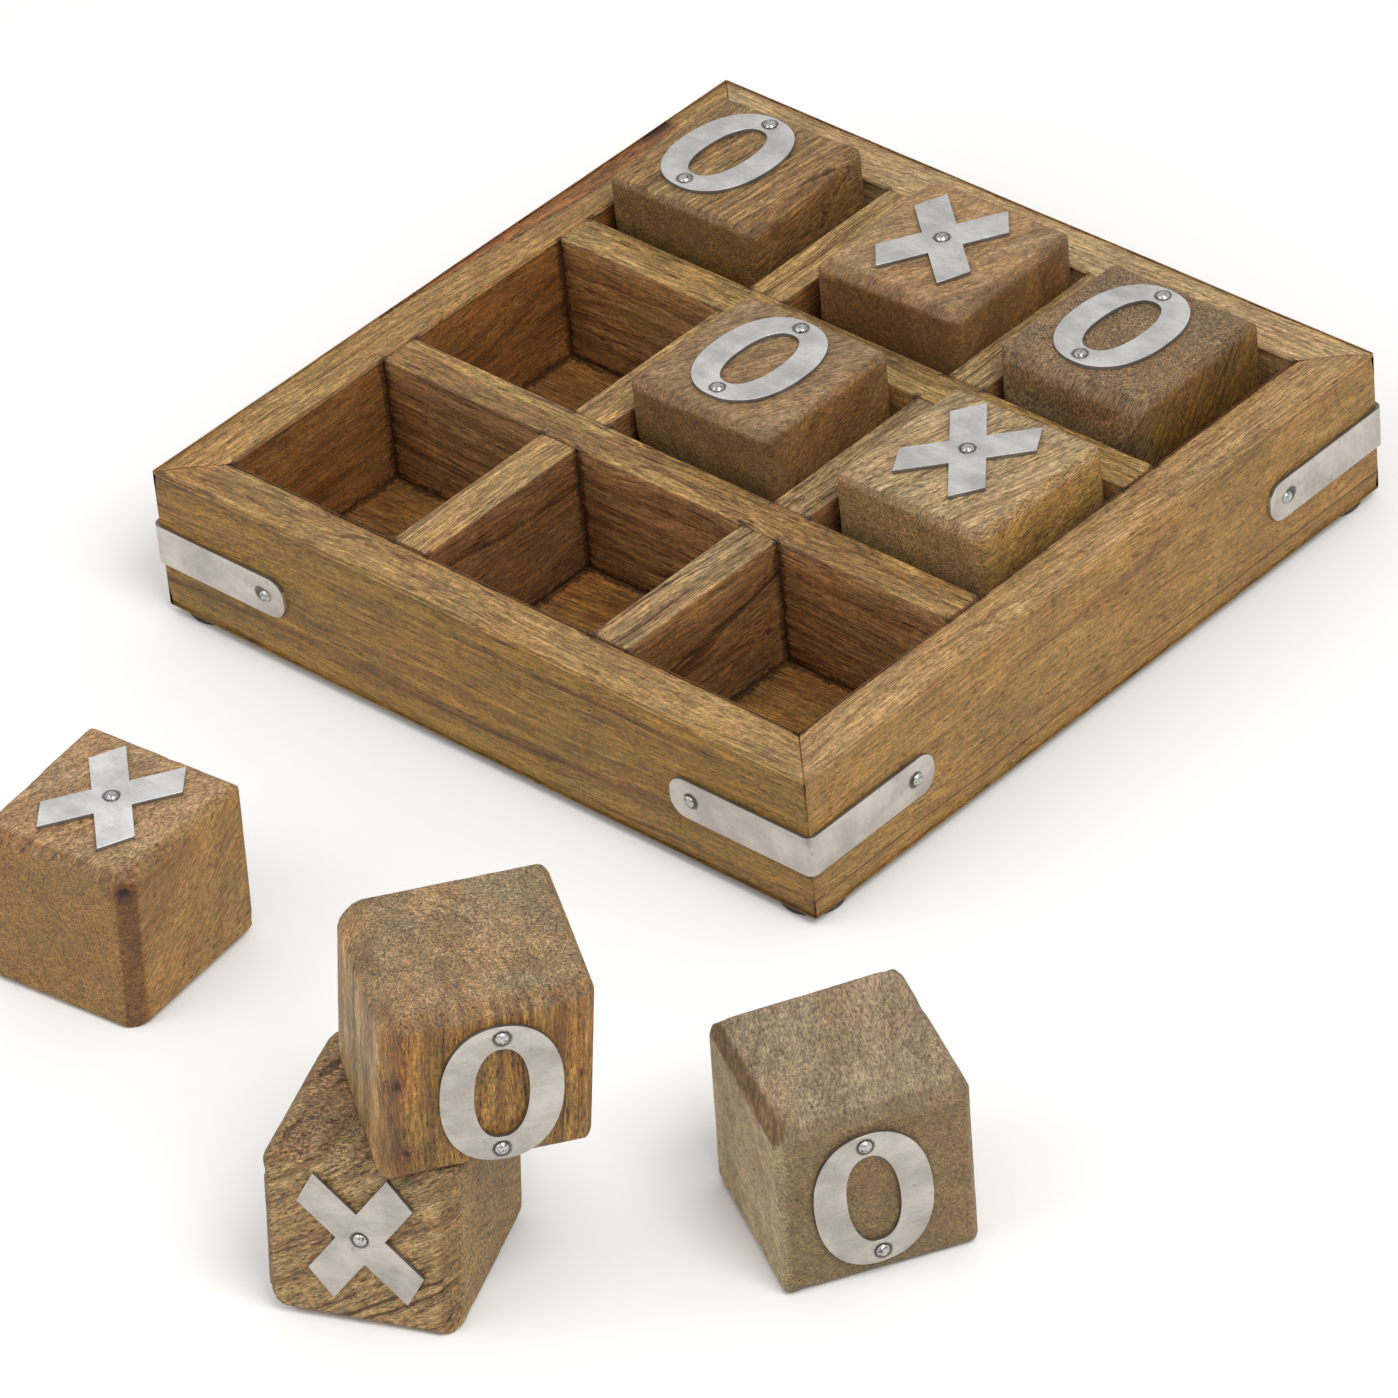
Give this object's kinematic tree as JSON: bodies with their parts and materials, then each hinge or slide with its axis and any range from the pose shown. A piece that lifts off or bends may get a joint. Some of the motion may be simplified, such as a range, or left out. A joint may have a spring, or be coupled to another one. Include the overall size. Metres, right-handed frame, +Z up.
{
  "type": "tic tac toe set",
  "caption": "Square wooden tray divided into a grid of cells, with metal corner straps, and loose wooden blocks that each carry a nailed metal O or X.",
  "frame": {"origin": "on the table, under the middle of the whole laid-out set", "axes": "+Z up; +Y from the loose blocks towards the tray's back rail; +X along the tray's front rail towards its right rail"},
  "size_m": [0.2658, 0.3261, 0.0746],
  "materials": {
    "rail_wood": "dark wax over open-grained brown hardwood",
    "base_wood": "dark reddish brown stained wood",
    "divider_wood": "lighter brown hardwood with dark pores",
    "strap_metal": "matt sheet",
    "nail_metal": "bright domed heads",
    "foot_rubber": "dark brown, matt",
    "block_wood": "waxed brown hardwood, worn edges",
    "plate_metal": "matt sheet with sheared edges"
  },
  "bodies": {
    "tray": {"rail_front": "rail_wood", "rail_right": "rail_wood", "rail_back": "rail_wood", "rail_left": "rail_wood", "base_panel": "base_wood", "long_divider_front": "divider_wood", "long_divider_back": "divider_wood", "cross_divider_left": "divider_wood", "cross_divider_right": "divider_wood", "strap_front_right": "strap_metal", "strap_back_right": "strap_metal", "strap_back_left": "strap_metal", "strap_front_left": "strap_metal", "strap_nails_front_right": "nail_metal", "strap_nails_back_right": "nail_metal", "strap_nails_back_left": "nail_metal", "strap_nails_front_left": "nail_metal", "foot_front_right": "foot_rubber", "foot_back_right": "foot_rubber", "foot_back_left": "foot_rubber", "foot_front_left": "foot_rubber"},
    "piece_back_left": {"block_back_left": "block_wood", "plate_back_left": "plate_metal", "nails_back_left": "nail_metal"},
    "piece_back_middle": {"block_back_middle": "block_wood", "plate_back_middle": "plate_metal", "nails_back_middle": "nail_metal"},
    "piece_back_right": {"block_back_right": "block_wood", "plate_back_right": "plate_metal", "nails_back_right": "nail_metal"},
    "piece_centre": {"block_centre": "block_wood", "plate_centre": "plate_metal", "nails_centre": "nail_metal"},
    "piece_middle_right": {"block_middle_right": "block_wood", "plate_middle_right": "plate_metal", "nails_middle_right": "nail_metal"},
    "piece_table_left": {"block_table_left": "block_wood", "plate_table_left": "plate_metal", "nails_table_left": "nail_metal"},
    "piece_stack_lower": {"block_stack_lower": "block_wood", "plate_stack_lower": "plate_metal", "nails_stack_lower": "nail_metal"},
    "piece_stack_upper": {"block_stack_upper": "block_wood", "plate_stack_upper": "plate_metal", "nails_stack_upper": "nail_metal"},
    "piece_table_right": {"block_table_right": "block_wood", "plate_table_right": "plate_metal", "nails_table_right": "nail_metal"}
  },
  "joints": [
    {"name": "lift_back_left", "type": "slide", "parent": "tray", "child": "piece_back_left", "axis": [0, 0, 1], "range_m": [0, 0.06]},
    {"name": "lift_back_middle", "type": "slide", "parent": "tray", "child": "piece_back_middle", "axis": [0, 0, 1], "range_m": [0, 0.06]},
    {"name": "lift_back_right", "type": "slide", "parent": "tray", "child": "piece_back_right", "axis": [0, 0, 1], "range_m": [0, 0.06]},
    {"name": "lift_centre", "type": "slide", "parent": "tray", "child": "piece_centre", "axis": [0, 0, 1], "range_m": [0, 0.06]},
    {"name": "lift_middle_right", "type": "slide", "parent": "tray", "child": "piece_middle_right", "axis": [0, 0, 1], "range_m": [0, 0.06]},
    {"name": "lift_table_left", "type": "slide", "parent": "tray", "child": "piece_table_left", "axis": [0, 0, 1], "range_m": [0, 0.06]},
    {"name": "lift_stack_lower", "type": "slide", "parent": "tray", "child": "piece_stack_lower", "axis": [0, 0, 1], "range_m": [0, 0.06]},
    {"name": "lift_stack_upper", "type": "slide", "parent": "piece_stack_lower", "child": "piece_stack_upper", "axis": [0, 0, 1], "range_m": [0, 0.06]},
    {"name": "lift_table_right", "type": "slide", "parent": "tray", "child": "piece_table_right", "axis": [0, 0, 1], "range_m": [0, 0.06]}
  ]
}
